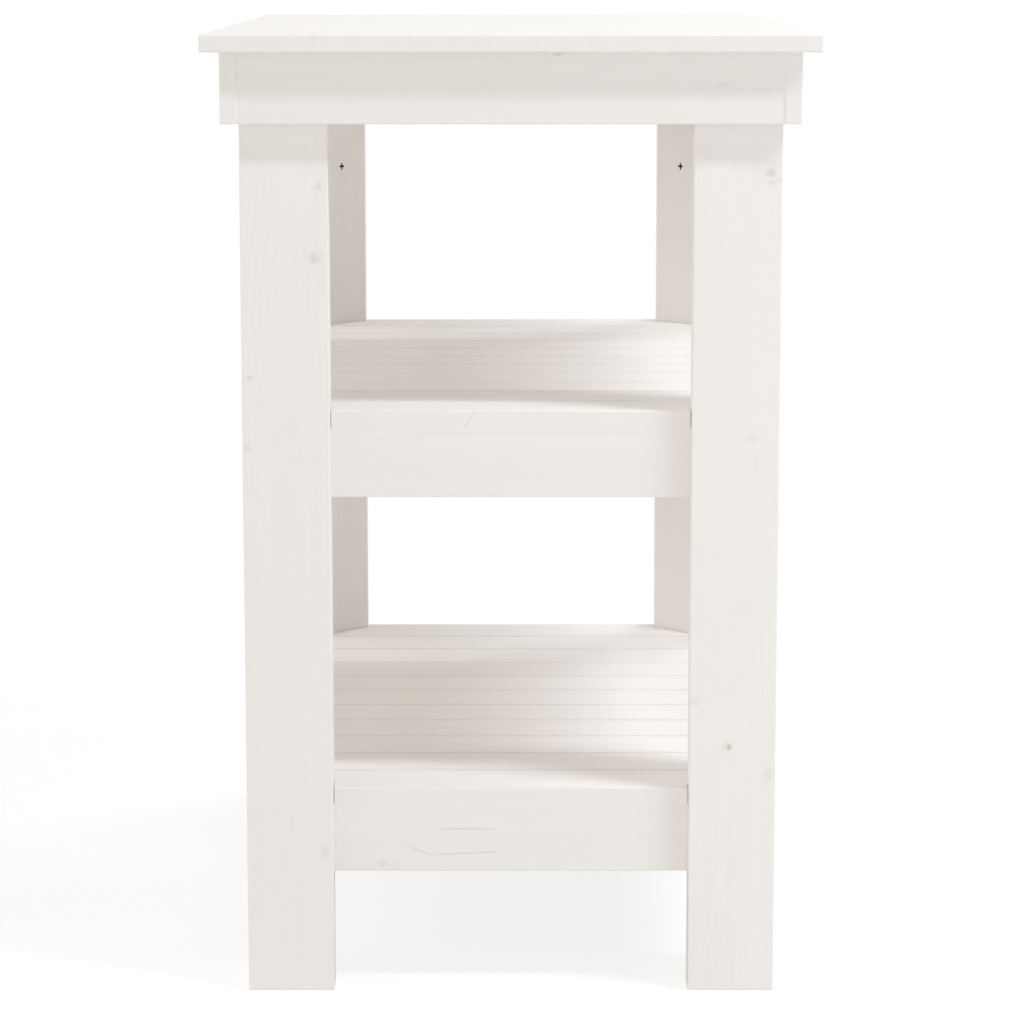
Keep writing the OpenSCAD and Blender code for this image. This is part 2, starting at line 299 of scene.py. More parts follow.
def build_edge(name):
    """Where a board's edge is near: a normal rounded over the width leaves the true one there. Noise
    breaks it up."""
    graph, given, output = new_group(
        name,
        [("Position", "Vector", (0, 0, 0)), ("Width", "Float", 2.0 * MM)],
        [("Edge", "Float")])
    rounded = graph.add("ShaderNodeBevel", {"Radius": given["Width"]}, samples=4).outputs["Normal"]
    true = graph.add("ShaderNodeNewGeometry").outputs["True Normal"]
    near = graph.step(graph.vector("DOT_PRODUCT", rounded, true), 0.995, 0.80)
    broken = graph.step(graph.noise(given["Position"], 55.0, 4.0, 0.65), 0.42, 0.66)
    fill_outputs(graph, output, {"Edge": graph.math("MULTIPLY", near, broken)})
    return graph.tree


def build_paint(name):
    """Thin paint over pine. Late wood, knots and end grain show through as a faint warm tone and
    stand up or sink in by hundredths of a millimetre, with brush marks along the grain. The seam
    turns the colour toward the pine at the joints between slats as painted shade."""
    graph, given, output = new_group(
        name,
        [("Position", "Vector", (0, 0, 0)), ("Paint", "Color", (0.8, 0.8, 0.8, 1)),
         ("Pine", "Color", (0.6, 0.4, 0.2, 1)), ("Late wood", "Float", 0.0), ("Fibre", "Float", 0.5),
         ("Tone", "Float", 0.5), ("Core", "Float", 0.0), ("Halo", "Float", 0.0), ("Edge", "Float", 0.0),
         ("End", "Float", 0.0), ("Seam", "Float", 0.0), ("Show", "Float", 1.0), ("Sheen", "Float", 0.45)],
        [("Color", "Color"), ("Roughness", "Float"), ("Height", "Float")])
    position = given["Position"]
    cloud = graph.noise(position, 7.0, 3.0, 0.6)
    bands = graph.drawn_noise(position, (1.6, 62.0, 62.0))
    patch = graph.step(graph.noise(position, 85.0), 0.40, 0.62)
    lumps = graph.noise(position, 170.0, 3.0, 0.55)
    brush = graph.drawn_noise(position, (9.0, 420.0, 420.0), 3.0, 0.6)

    # How far the colour goes to the pine: 0 hides it and 1 shows it. On the slats the seam share is painted
    # shade
    swelling = graph.math("MULTIPLY", given["Halo"], patch)
    rings = graph.math("MULTIPLY", given["Late wood"], graph.math("MULTIPLY_ADD", swelling, 0.16, 0.010))
    thin = graph.total(rings, (given["Core"], 0.34), (swelling, 0.05), (given["End"], 0.01),
                       (given["Edge"], 0.03), (given["Seam"], 1.0), (graph.swing(given["Fibre"]), 0.012))
    thin = graph.math("MULTIPLY", thin, given["Show"], clamp=True)
    level = graph.total(1.0, (graph.swing(cloud), 0.035), (graph.swing(bands), 0.045),
                        (graph.swing(given["Tone"]), 0.016))
    color = graph.vector("MULTIPLY", graph.blend(thin, given["Paint"], given["Pine"]), graph.even(level))
    rough = graph.total(given["Sheen"], (graph.swing(lumps), 0.10), (given["End"], 0.12),
                        (given["Core"], -0.08))
    # In millimetres
    height = graph.total(0.0, (given["Late wood"], 0.030), (brush, 0.050), (lumps, 0.060),
                         (given["Fibre"], 0.015), (given["Core"], -0.10), (given["Seam"], -0.8))
    fill_outputs(graph, output, {"Color": color, "Roughness": rough, "Height": height})
    return graph.tree


def new_material(name):
    """An empty node material with its Principled BSDF and the piece's own position."""
    material = bpy.data.materials.new(name)
    material.use_nodes = True
    material.node_tree.nodes.clear()
    graph = Tree(material.node_tree)
    shader = graph.add("ShaderNodeBsdfPrincipled")
    graph.add("ShaderNodeOutputMaterial", {"Surface": shader.outputs["BSDF"]})
    position = graph.add("ShaderNodeTexCoord").outputs["Object"]
    return material, graph, shader, position


def join_surface(graph, shader, color, roughness, bump):
    """Joins what varies over a surface to its shader."""
    for name, value in (("Base Color", color), ("Roughness", roughness), ("Normal", bump.outputs["Normal"])):
        graph.tree.links.new(value, shader.inputs[name])


# Turns that lay a board's grain along the pattern's X
GRAIN_TURN = {"X": (0.0, 0.0, 0.0), "Y": (0.0, 0.0, -math.pi / 2), "Z": (0.0, math.pi / 2, 0.0)}
# The photograph shows the end faces beyond this X, so no knots are scattered there
SEEN_X = float(RAIL_LOW[0])
PAINT_GLOSS = 0.15


def painted_wood(name, grain, cell, seed, knots=(), origin=(0.0, 0.0, 0.0), seam=None, marks=()):
    """Painted pine with its grain along X, Y or Z. cell is the room of one board, in the pattern's
    own axes, and origin moves the middle of a cell to the boards. seed makes them differ from the
    boards of other materials. knots are (X, Y, Z), (size along X, Y, Z) and strength, in millimetres.
    marks are (X, Y, Z), half length and half width in millimetres, slope, curve in a metre and
    strength. seam is the spacing of the joints, the reach of the pine tone from a joint's middle,
    its strength and the distance from the middle within which there are joints. On the top that
    tone is a faint glued joint line; on the slats it is painted shade in the joints."""
    props = bpy.context.scene.workbench_paint
    material, graph, shader, position = new_material(name)
    turned = graph.add("ShaderNodeMapping", {"Vector": position, "Location": origin,
                                             "Rotation": GRAIN_TURN[grain]}).outputs["Vector"]
    clear = graph.math("LESS_THAN", graph.split(position)["X"], SEEN_X) if knots else 1.0
    found = graph.shared("Stray knots", build_stray_knots,
                         {"Position": turned, "Amount": props.knot_share, "Clear": clear})
    core, halo = found["Core"], found["Halo"]
    for place, size, strength in knots:
        found = graph.shared("Knot", build_knot, {
            "Position": position, "Centre": [MM * value for value in place],
            "Size": [MM * value for value in size], "Strength": strength, "Core": core, "Halo": halo})
        core, halo = found["Core"], found["Halo"]
    for place, reach, width, slope, curve, strength in marks:
        core = graph.shared("Mark", build_mark, {
            "Position": position, "Centre": [MM * value for value in place], "Reach": MM * reach,
            "Width": MM * width, "Slope": slope, "Curve": curve, "Strength": strength, "Core": core})["Core"]

    figure = graph.shared("Pine figure", build_figure, {
        "Position": turned, "Cell": cell, "Seed": seed, "Spacing": props.ring_spacing, "Halo": halo})
    edge = graph.shared("Worn edge", build_edge, {"Position": position, "Width": props.edge_width})["Edge"]
    facing = graph.split(graph.add("ShaderNodeNewGeometry").outputs["True Normal"])[grain]
    end = graph.step(graph.math("ABSOLUTE", facing), 0.75, 0.95)
    # The seam is a faint glued joint line on the top, and painted shade on the slats: their colour turns
    # toward the pine beside each gap
    joint = 0.0
    if seam:
        spacing, reach, strength, limit = seam
        across = graph.split(turned)["Y"]
        turns = graph.swing(graph.math("FRACT", graph.math("DIVIDE", across, spacing)))
        off = graph.math("MULTIPLY", graph.math("ABSOLUTE", turns), spacing)
        line = graph.step(off, reach, reach * 0.3, 0.0, strength)
        joint = graph.math("MULTIPLY", line, graph.math("LESS_THAN", graph.math("ABSOLUTE", across), limit))

    paint = graph.shared("Thin paint and joint shade", build_paint, {
        "Position": turned, "Paint": (*props.paint_color, 1.0), "Pine": (*props.pine_color, 1.0),
        "Late wood": figure["Late wood"], "Fibre": figure["Fibre"], "Tone": figure["Tone"], "Core": core,
        "Halo": halo, "Edge": edge, "End": end, "Seam": joint, "Show": props.show_through,
        "Sheen": props.roughness})
    bump = graph.add("ShaderNodeBump", {"Height": paint["Height"], "Strength": 1.0, "Distance": MM})
    join_surface(graph, shader, paint["Color"], paint["Roughness"], bump)
    shader.inputs["Specular IOR Level"].default_value = PAINT_GLOSS
    return material


def dress(names, material):
    """Gives a material to CAD nodes, in every slot that they have."""
    for name in names:
        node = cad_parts[name]
        if not node.material_slots:
            node.data.materials.append(material)
        for place in node.material_slots:
            place.material = material


def end_knots(x, rows):
    """Knots on a face that looks along X, which run 20 mm deep either way from x. A row has the place
    along Y, the height, half the width, half the height and the strength."""
    return [((x, y, z), (20, wide, high), strength) for y, z, wide, high, strength in rows]


def end_marks(x, rows):
    """Fine lines on a face that looks along X. A row has the place along Y, the height, half the
    length, half the width, the slope, the curve and the strength."""
    return [((x, y, z), *shape) for y, z, *shape in rows]


# Knots and lines that the photograph shows, by piece, in millimetres from the bench's middle and
# the floor
LEG_KNOTS = end_knots(366, [
    (-157, 677, 4.5, 3.5, 0.5),
    (-160, 619, 6.0, 6.0, 0.5),
    (-215, 520, 3.2, 3.2, 0.5),
    (-217, 463, 4.0, 5.0, 0.4),
    (-183, 146, 1.8, 9.0, 0.35),
    (-156, 120, 4.0, 6.5, 0.4),
    (211, 688, 6.0, 4.0, 0.9),
    (211, 680, 4.5, 2.0, 0.5),
    (199, 470, 4.5, 4.5, 0.32),
    (203, 450, 2.0, 9.0, 0.28),
    (153, 249, 4.0, 4.0, 0.35),
    (182, 210, 3.0, 3.0, 1.0),
    (215, 187, 4.0, 6.5, 0.4),
])
APRON_KNOTS = end_knots(380, [
    (38, 784.5, 4.5, 1.5, 0.8),
    (170, 759, 6.0, 3.0, 0.32),
    (-135, 753.5, 3.5, 1.6, 0.25),
])
RAIL_KNOTS = end_knots(352, [(-108, 106, 6.0, 3.5, 0.45)])
# On the upper face of an upper slat
SLAT_KNOTS = [((-67, -155, 491), (4.0, 18.0, 20), 0.7)]
TOP_MARKS = end_marks(402, [
    (-158.5, 793, 2.4, 6.0, 6.0, 0.0, 0.32),
    (20, 794, 0.9, 4.0, -7.0, 0.0, 0.2),
])
RAIL_MARKS = end_marks(352, [
    (-36, 136.4, 30, 0.8, 0.0, 0.0, 0.8),
    (-76, 117.0, 14, 0.9, -0.38, 6.0, 0.7),
    (-38, 115.2, 34, 0.8, 0.045, 0.0, 0.8),
    (0, 473.0, 170, 1.2, 0.012, -0.25, 0.2),
])
SLAT_MARKS = end_marks(352, [(-34, 484, 6.5, 2.0, 1.35, 0.0, 0.4)])


# Screws, worked out with numpy

def grid_faces(rings, around):
    """Faces of a surface of rings of points, closed round each ring, with one point at either end."""
    ring, spot = np.meshgrid(np.arange(rings - 1), np.arange(around), indexing="ij")
    here = ring * around + spot
    side = ring * around + (spot + 1) % around
    quads = np.stack([here, side, side + around, here + around], axis=-1).reshape(-1, 4)
    turn = np.arange(around)
    first, last = rings * around, rings * around + 1
    start = np.stack([np.full(around, first), (turn + 1) % around, turn], axis=-1)
    base = (rings - 1) * around
    end = np.stack([np.full(around, last), base + turn, base + (turn + 1) % around], axis=-1)
    return quads, np.concatenate([start, end])


def turned_piece(radius, height, around, start, end):
    """Points of a turned surface: radius and height are arrays of rings by angles, and start and end
    are the heights at which the axis closes it."""
    angle = np.linspace(0.0, 2.0 * np.pi, around, endpoint=False)
    points = np.stack([radius * np.cos(angle), radius * np.sin(angle), height], axis=-1).reshape(-1, 3)
    return np.concatenate([points, [[0.0, 0.0, start], [0.0, 0.0, end]]])


def cross_outline(angle, half_length, half_width):
    """Radius of a cross with two equal bars: at each angle the longer reach of the two bars, and a
    bar's reach is the nearer of its end and its side."""
    cosine, sine = np.abs(np.cos(angle)) + 1e-9, np.abs(np.sin(angle)) + 1e-9
    flat = np.minimum(half_length / cosine, half_width / sine)
    upright = np.minimum(half_length / sine, half_width / cosine)
    return np.maximum(flat, upright)


def screw_shape(head, shank, length, pitch, around, per_turn):
    """A countersunk cross-recess screw along -Z with its face at the origin. From the middle of the
    recess the rings follow the cross up to the face and turn into circles at the rim. The thread is a
    helix: the radius rises to its crest once a turn, where the height over the pitch and the angle
    over a turn agree, and it fades in below the head and out at the tip."""
    angle = np.linspace(0.0, 2.0 * np.pi, around, endpoint=False)[None, :]
    cross = cross_outline(angle, 0.30 * head, 0.068 * head)
    circle = np.ones_like(cross)
    depth = 0.26 * head
    rim = head / 2
    cone = (head - shank) / 2
    lip = 0.4 * MM
    edge = 0.05 * MM
    # Rings of the recess: share of the cross, height, and how far the colour goes to the bare steel that is
    # darkened as painted shade
    recess = [(0.30, -depth, 1.0), (0.62, -0.93 * depth, 1.0), (0.90, -0.25 * depth, 1.0),
              (1.00, -0.10 * MM, 0.8), (1.06, 0.0, 0.15)]
    # Rings of the face, the rim and the cone: radius and height
    turned = [(0.55 * (rim - edge), 0.0), (0.80 * (rim - edge), 0.0), (0.95 * (rim - edge), 0.0),
              (rim, -0.15 * MM), (rim, -lip), (shank / 2, -lip - cone)]
    radius = [share * cross for share, _, _ in recess] + [size * circle for size, _ in turned]
    height = [level * circle for _, level, _ in recess] + [level * circle for _, level in turned]

    down = np.arange(lip + cone + 0.5 * MM, length - 0.3 * MM, pitch / per_turn)[:, None]
    crest, root = shank / 2, 0.36 * shank
    phase = (down / pitch + angle / (2.0 * np.pi)) % 1.0
    ridge = np.clip(1.0 - np.abs(phase - 0.5) / 0.30, 0.0, 1.0)
    starts = np.clip((down - 0.22 * length) / (2.0 * pitch), 0.0, 1.0)
    tip = np.clip((length - down) / (1.6 * shank), 0.0, 1.0)
    body = (1.0 - starts) * crest + starts * (root + (crest - root) * ridge)
    radius = np.concatenate(radius + [body * tip + 0.03 * MM])
    height = np.concatenate(height + [-down * circle])
    points = turned_piece(radius, height, around, -depth, -length)
    quads, caps = grid_faces(len(radius), around)
    bare_and_shade = np.zeros(len(points))
    bare_and_shade[:len(recess) * around] = np.repeat([share for _, _, share in recess], around)
    # The point that closes the recess
    bare_and_shade[-2] = 1.0
    return points, quads, caps, bare_and_shade


def turn_to(direction):
    """Rotation that takes +Z to a direction, with the piece's own X kept level."""
    forward = np.array(direction, float) / np.linalg.norm(direction)
    helper = np.array([0.0, 0.0, 1.0]) if abs(forward[2]) < 0.9 else np.array([1.0, 0.0, 0.0])
    side = np.cross(helper, forward)
    side /= np.linalg.norm(side)
    return np.stack([side, np.cross(forward, side), forward], axis=1)


def turn_round(angle):
    """Rotation round Z."""
    cosine, sine = math.cos(angle), math.sin(angle)
    return np.array([[cosine, -sine, 0.0], [sine, cosine, 0.0], [0.0, 0.0, 1.0]])


def place_copies(name, shape, places, material, node, twist=0.0):
    """One object with a copy of a shape at each place, given as a point and the direction of its +Z.
    It stands for the CAD node and rides with the bench. twist turns each copy a little further."""
    points, quads, caps, bare_and_shade = shape
    copies = [points @ (turn_to(direction) @ turn_round(twist * index)).T + np.array(point)
              for index, (point, direction) in enumerate(places)]
    shifts = np.arange(len(places))[:, None, None] * len(points)
    faces = (quads[None] + shifts).reshape(-1, 4).tolist() + (caps[None] + shifts).reshape(-1, 3).tolist()
    mesh = bpy.data.meshes.new(name)
    mesh.from_pydata(np.concatenate(copies).tolist(), [], faces)
    # The recess share, where the material paints shade over the bare steel
    layer = mesh.attributes.new("bare_and_shade", "FLOAT", "POINT")
    layer.data.foreach_set("value", np.tile(bare_and_shade, len(places)).astype(np.float32))
    mesh.polygons.foreach_set("use_smooth", np.ones(len(mesh.polygons), dtype=bool))
    mesh.set_sharp_from_angle(angle=math.radians(38.0))
    mesh.materials.append(material)
    mesh.update()
    piece = bpy.data.objects.new(name, mesh)
    bpy.context.scene.collection.objects.link(piece)
    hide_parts(node)
    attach(piece, "root")


def screw_metal(name, face_color, metallic, roughness):
    """Coated steel: the face in its own colour with a speckled sheen, the recess bare steel darkened to near
    black as painted shade.
    """
    props = bpy.context.scene.workbench_screws
    material, graph, shader, position = new_material(name)
    bare_and_shade = graph.add("ShaderNodeAttribute", attribute_name="bare_and_shade").outputs["Fac"]
    speck = graph.noise(position, 900.0, 3.0, 0.6)
    smear = graph.noise(position, 240.0)
    level = graph.total(1.0, (graph.swing(smear), 0.12))
    coat = graph.vector("MULTIPLY", tuple(face_color), graph.even(level))
    # The recess gets the near-black colour: painted shade over its bare steel
    color = graph.blend(bare_and_shade, coat, (*props.recess_shade_color, 1.0))
    rough = graph.total(roughness, (graph.swing(speck), 0.16))
    bump = graph.add("ShaderNodeBump", {"Height": speck, "Strength": 0.4, "Distance": 0.04 * MM})
    join_surface(graph, shader, color, rough, bump)
    shader.inputs["Metallic"].default_value = metallic
    return material


def raw_beech():
    """Beech with short dark flecks along the grain and no finish."""
    material, graph, shader, position = new_material("Raw beech")
    fleck = graph.drawn_noise(position, (900.0, 900.0, 160.0))
    cloud = graph.noise(position, 60.0)
    color = graph.blend(graph.step(fleck, 0.55, 0.7), (0.60, 0.40, 0.23, 1.0), (0.46, 0.28, 0.15, 1.0))
    color = graph.blend(graph.math("MULTIPLY", cloud, 0.4), color, (0.66, 0.47, 0.29, 1.0))
    bump = graph.add("ShaderNodeBump", {"Height": fleck, "Strength": 0.5, "Distance": 0.05 * MM})
    join_surface(graph, shader, color, graph.total(0.6, (fleck, 0.2)), bump)
    return material


def post_places(heights):
    """Screw places in the middle of each leg's slanted face, pointing out of it."""
    return [((side_x * (LEG_X - POST_FACE), side_y * (LEG_Y - POST_FACE), height), (-side_x, -side_y, 0.0))
            for side_x in (-1, 1) for side_y in (-1, 1) for height in heights]


# Settings

class WorkbenchPaintSettings(PropertyGroup):
    """Paint and wood"""

    paint_color: FloatVectorProperty(
        name="Paint", description="Colour of the paint", subtype="COLOR", size=3,
        default=(0.90, 0.865, 0.836), min=0.0, max=1.0)
    pine_color: FloatVectorProperty(
        name="Pine", description="Colour of the wood that shows through the paint", subtype="COLOR", size=3,
        default=(0.50, 0.42, 0.33), min=0.0, max=1.0)
    show_through: FloatProperty(
        name="Show through", description="How much of the grain and knots the paint lets through",
        default=1.0, min=0.0, max=4.0)
    roughness: FloatProperty(
        name="Roughness", description="Roughness of the paint on a board's face",
        default=0.68, min=0.1, max=1.0)
    ring_spacing: FloatProperty(
        name="Ring spacing", description="Distance from one growth ring to the next",
        default=2.6 * MM, min=0.5 * MM, max=8.0 * MM, unit="LENGTH")
    edge_width: FloatProperty(
        name="Worn edge", description="Width of the thin paint along a board's edge",
        default=1.6 * MM, min=0.2 * MM, max=6.0 * MM, unit="LENGTH")
    # Painted shade at the joints between slats: the colour near each joint turns toward the pine, as if the
    # gap's shade spread onto the slats
    joint_shade_reach: FloatProperty(
        name="Joint", description="How far from the middle of a joint between slats the paint is thin",
        default=2.1 * MM, min=0.5 * MM, max=6.0 * MM, unit="LENGTH")
    joint_shade: FloatProperty(
        name="Joint shade", description="How much of the pine shows at a joint between slats",
        default=0.32, min=0.0, max=1.0)
    knot_share: FloatProperty(
        name="Knots", description="Share of the wood's cells that hold a knot",
        default=0.28, min=0.0, max=1.0)
    stave_width: FloatProperty(
        name="Stave width", description="Width of the staves that the top is glued up from",
        default=90.0 * MM, min=30.0 * MM, max=200.0 * MM, unit="LENGTH")


class WorkbenchScrewSettings(PropertyGroup):
    """Screws"""

    leg_head: FloatProperty(
        name="Leg screw head", description="Diameter of the heads in the legs",
        default=12.0 * MM, min=6.0 * MM, max=16.0 * MM, unit="LENGTH")
    leg_shank: FloatProperty(
        name="Leg screw shank", description="Diameter of the screws in the legs",
        default=5.8 * MM, min=3.0 * MM, max=8.0 * MM, unit="LENGTH")
    leg_pitch: FloatProperty(
        name="Leg screw pitch", description="Rise of the thread in one turn",
        default=3.4 * MM, min=1.0 * MM, max=6.0 * MM, unit="LENGTH")
    slat_head: FloatProperty(
        name="Slat screw head", description="Diameter of the heads in the slats",
        default=7.0 * MM, min=4.0 * MM, max=10.0 * MM, unit="LENGTH")
    slat_shank: FloatProperty(
        name="Slat screw shank", description="Diameter of the screws in the slats",
        default=3.5 * MM, min=2.0 * MM, max=5.0 * MM, unit="LENGTH")
    slat_pitch: FloatProperty(
        name="Slat screw pitch", description="Rise of the thread in one turn",
        default=1.8 * MM, min=0.6 * MM, max=4.0 * MM, unit="LENGTH")
    slat_inset: FloatProperty(
        name="Slat screw inset", description="Distance of the slat screws from a slat's long edges",
        default=16.0 * MM, min=5.0 * MM, max=30.0 * MM, unit="LENGTH")
    coat_color: FloatVectorProperty(
        name="Coating", description="Colour of the coated heads in the legs", subtype="COLOR", size=3,
        default=(0.90, 0.88, 0.85), min=0.0, max=1.0)
    zinc_color: FloatVectorProperty(
        name="Zinc", description="Colour of the plated screws in the slats", subtype="COLOR", size=3,
        default=(0.72, 0.72, 0.70), min=0.0, max=1.0)
    # Painted shade: the near-black colour in the cross recess stands for the shade in it, over bare steel
    recess_shade_color: FloatVectorProperty(
        name="Recess", description="Colour in the cross recess", subtype="COLOR", size=3,
        default=(0.035, 0.03, 0.028), min=0.0, max=1.0)


class WorkbenchStudioSettings(PropertyGroup):
    """Light, floor and camera"""

    eye: FloatVectorProperty(
        name="Eye", description="Where the camera stands", subtype="XYZ", size=3, unit="LENGTH",
        default=(3.2272, 0.0009, 0.8717))
    pitch: FloatProperty(
        name="Pitch", description="How far the camera looks down", unit="ROTATION",
        default=math.radians(9.2088))
    focal_length: FloatProperty(
        name="Focal length", description="Lens, in millimetres on a 36 mm frame",
        default=123.19, min=20.0, max=400.0)
    key_place: FloatVectorProperty(
        name="Key lamp", description="Middle of the long lamp in front", subtype="XYZ", size=3, unit="LENGTH",
        default=(1.965, 3.45, 4.5))
    key_width: FloatProperty(
        name="Key width", description="Width of the lamp in front", default=0.47, min=0.05, unit="LENGTH")
    key_power: FloatProperty(
        name="Key power", description="Power of the lamp in front, in watts", default=188.0, min=0.0)
    rear_place: FloatVectorProperty(
        name="Rear lamp", description="Middle of the long lamp behind", subtype="XYZ", size=3, unit="LENGTH",
        default=(-3.69, 3.12, 4.5))
    rear_width: FloatProperty(
        name="Rear width", description="Width of the lamp behind", default=0.80, min=0.05, unit="LENGTH")
    rear_power: FloatProperty(
        name="Rear power", description="Power of the lamp behind, in watts", default=138.0, min=0.0)
    lamp_length: FloatProperty(
        name="Lamp length", description="Length of both lamps", default=3.24, min=0.1, unit="LENGTH")
    lamp_color: FloatVectorProperty(
        name="Lamp colour", description="Colour of both lamps", subtype="COLOR", size=3,
        default=(0.92, 1.0, 1.08), min=0.0, max=2.0)
    ambient: FloatVectorProperty(
        name="Ambient", description="Light from all round", subtype="COLOR", size=3,
        default=(0.346, 0.334, 0.311), min=0.0, max=2.0)
    front_light: FloatProperty(
        name="Front light", description="Further light from the camera's side",
        default=0.46, min=0.0, max=2.0)
    side_color: FloatVectorProperty(
        name="Side colour", description="Colour of the light from the bench's long sides", subtype="COLOR",
        size=3, default=(1.04, 1.01, 0.95), min=0.0, max=2.0)
    side_levels: FloatVectorProperty(
        name="Side levels", description="Light from the front and from the rear long side", size=2,
        default=(1.02, 0.15), min=0.0, max=2.0)
    floor_size: FloatProperty(
        name="Floor", description="Side of the floor", default=9.0, min=2.0, unit="LENGTH")
    floor_shade: FloatProperty(
        name="Floor shade", description="How much the light and shadow on the floor count in what is seen",
        default=0.30, min=0.0, max=1.0)
    open_light: FloatProperty(
        name="Open light", description="Light on the floor at which it is seen as plain white",
        default=0.80, min=0.1, max=2.0)


# Operators

class PieceOperator:
    """What all the operators share."""

    bl_options = {"REGISTER", "UNDO"}


class WORKBENCH_OT_top(PieceOperator, Operator):
    """Paints the top, glued up from staves"""

    bl_idname = "workbench.top"
    bl_label = "Paint the top"

    def execute(self, context):
        stave = context.scene.workbench_paint.stave_width
        # One glued joint lies 20 mm behind the middle
        middle = stave / 2 - 20.0 * MM
        # The joints are fine and faint, and run right across the top
        seam = (stave, 0.45 * MM, 0.02, 1.0)
        dress(["tabletop"], painted_wood("Painted top", "X", (4.0, stave, 0.2), 3.0,
                                         origin=(0.0, middle, 0.0), seam=seam, marks=TOP_MARKS))
        return {"FINISHED"}


class WORKBENCH_OT_aprons(PieceOperator, Operator):
    """Paints the aprons under the top"""

    bl_idname = "workbench.aprons"
    bl_label = "Paint the aprons"

    def execute(self, context):
        depth = float(TOP_HIGH[1] - TOP_LOW[1])
        dress(["front_apron", "rear_apron"],
              painted_wood("Painted side aprons", "X", (4.0, depth, 0.3), 11.0))
        dress(["left_apron", "right_apron"],
              painted_wood("Painted end aprons", "Y", (4.0, 0.7, 0.3), 14.0, APRON_KNOTS))
        return {"FINISHED"}


class WORKBENCH_OT_cleats(PieceOperator, Operator):
    """Paints the cleats that hold the top"""

    bl_idname = "workbench.cleats"
    bl_label = "Paint the cleats"

    def execute(self, context):
        dress(["front_cleat", "rear_cleat"], painted_wood("Painted side cleats", "X", (4.0, 0.4, 0.3), 21.0))
        dress(["left_cleat", "right_cleat"], painted_wood("Painted end cleats", "Y", (4.0, 0.7, 0.3), 24.0))
        return {"FINISHED"}


class WORKBENCH_OT_legs(PieceOperator, Operator):
    """Paints the boards and posts of the legs"""

    bl_idname = "workbench.legs"
    bl_label = "Paint the legs"

    def execute(self, context):
        # Each leg stands in a cell of its own, on one side of the middle along X and along Y
        cell = (4.0, 0.37, 0.66)
        origin = (0.0, cell[1] / 2, cell[2] / 2)
        for part, seed, knots in (("end_board", 31.0, LEG_KNOTS), ("side_board", 36.0, ()),
                                  ("post", 43.0, ())):
            dress([f"{corner}_leg_{part}" for corner in CORNERS],
                  painted_wood("Painted leg " + part.replace("_", " ") + "s", "Z", cell, seed, knots,
                               origin=origin))
        return {"FINISHED"}


class WORKBENCH_OT_rails(PieceOperator, Operator):
    """Paints the rails that carry the shelves"""

    bl_idname = "workbench.rails"
    bl_label = "Paint the rails"

    def execute(self, context):
        dress([f"{shelf}_{side}_rail" for shelf in SHELVES for side in ("front", "rear")],
              painted_wood("Painted side rails", "X", (4.0, 0.4, 0.3), 52.0))
        dress([f"{shelf}_{side}_rail" for shelf in SHELVES for side in ("left", "right")],
              painted_wood("Painted end rails", "Y", (4.0, 0.7, 0.3), 57.0, RAIL_KNOTS, marks=RAIL_MARKS))
        return {"FINISHED"}


class WORKBENCH_OT_slats(PieceOperator, Operator):
    """Paints the slats, each cut from its own board"""

    bl_idname = "workbench.slats"
    bl_label = "Paint the slats"

    def execute(self, context):
        props = context.scene.workbench_paint
        pitch = float(box("upper_slat_2")[0][0] - box("upper_slat_1")[0][0])
        # The outer edges of the end slats aren't joints
        limit = pitch * (SLAT_COUNT / 2 - 0.25)
        # The seam on the slats is painted shade at the joints between them, with an eased edge in the bump
        material = painted_wood("Painted slats", "Y", (4.0, pitch, 0.3), 63.0, SLAT_KNOTS,
                                seam=(pitch, props.joint_shade_reach, props.joint_shade, limit), marks=SLAT_MARKS)
        dress([f"{shelf}_slat_{index}" for shelf in SHELVES for index in range(1, SLAT_COUNT + 1)], material)
        return {"FINISHED"}


class WORKBENCH_OT_leg_screws(PieceOperator, Operator):
    """Makes the coated screws in the legs and through them into the aprons"""

    bl_idname = "workbench.leg_screws"
    bl_label = "Drive the leg screws"

    def execute(self, context):
        props = context.scene.workbench_screws
        metal = screw_metal("Coated steel", props.coat_color, 0.0, 0.42)
        for name, node, rows in (("leg_screw_set", "leg_screws", (-1, 0, 1)),
                                 ("frame_screw_set", "frame_screws", (0,))):
            low, high = box(node)
            length = (high[0] - (LEG_X - POST_FACE)) * DIAGONAL
            if node == "frame_screws" and length < POST_FACE * DIAGONAL:
                raise RuntimeError("the frame screws stop short of the aprons")
            middle = (low[2] + high[2]) / 2
            spread = (high[2] - low[2] - props.leg_head) / 2
            shape = screw_shape(props.leg_head, props.leg_shank, length, props.leg_pitch,
                                around=48, per_turn=6)
            place_copies(name, shape, post_places([middle + row * spread for row in rows]), metal,
                         node)
        return {"FINISHED"}


class WORKBENCH_OT_slat_screws(PieceOperator, Operator):
    """Makes the plated screws that fix the slats to the side rails"""

    bl_idname = "workbench.slat_screws"
    bl_label = "Drive the slat screws"

    def execute(self, context):
        props = context.scene.workbench_screws
        metal = screw_metal("Zinc plate", props.zinc_color, 0.85, 0.34)
        # Past this X the legs stand where a screw would be
        limit = LEG_X - LEG_WIDTH - props.slat_head / 2
        for shelf in SHELVES:
            low, high = box(f"{shelf}_slat_screws")
            places = []
            for index in range(1, SLAT_COUNT + 1):
                slat_low, slat_high = box(f"{shelf}_slat_{index}")
                for x in (slat_low[0] + props.slat_inset, slat_high[0] - props.slat_inset):
                    if abs(x) < limit:
                        places += [((x, side * SIDE_RAIL_Y, high[2]), (0.0, 0.0, 1.0)) for side in (-1, 1)]
            shape = screw_shape(props.slat_head, props.slat_shank, high[2] - low[2], props.slat_pitch,
                                around=24, per_turn=3)
            place_copies(f"{shelf}_slat_screw_set", shape, places, metal,
                         f"{shelf}_slat_screws", twist=0.7)
        return {"FINISHED"}


